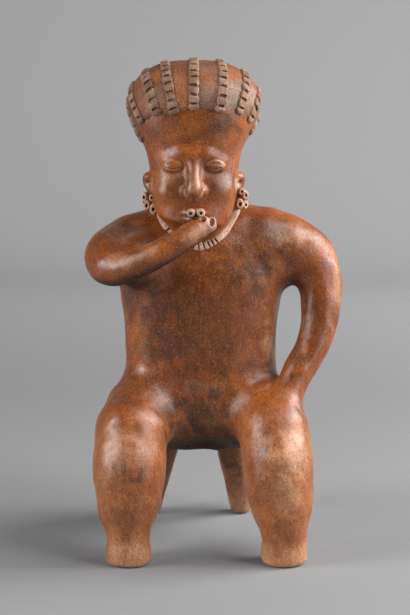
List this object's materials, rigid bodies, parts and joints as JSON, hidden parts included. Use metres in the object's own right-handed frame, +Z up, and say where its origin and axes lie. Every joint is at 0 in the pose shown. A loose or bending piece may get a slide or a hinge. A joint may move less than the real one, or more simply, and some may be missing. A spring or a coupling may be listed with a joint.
{
  "type": "seated statuette",
  "caption": "Seated figure of burnished red clay with braided hair, one hand raised to its mouth, on a seat with two rear legs.",
  "frame": {"origin": "on the ground, under the middle of the figure's bounding box", "axes": "+Z up; the figure faces -Y; its own left side, with the arm that reaches down to the thigh, is at +X"},
  "size_m": [0.2589, 0.2119, 0.5],
  "materials": {
    "burnished_clay": "burnished red slip over fired clay, satin, with dark firing clouds and dust in the hair"
  },
  "bodies": {
    "root": {"seated_figure": "burnished_clay"}
  },
  "joints": []
}
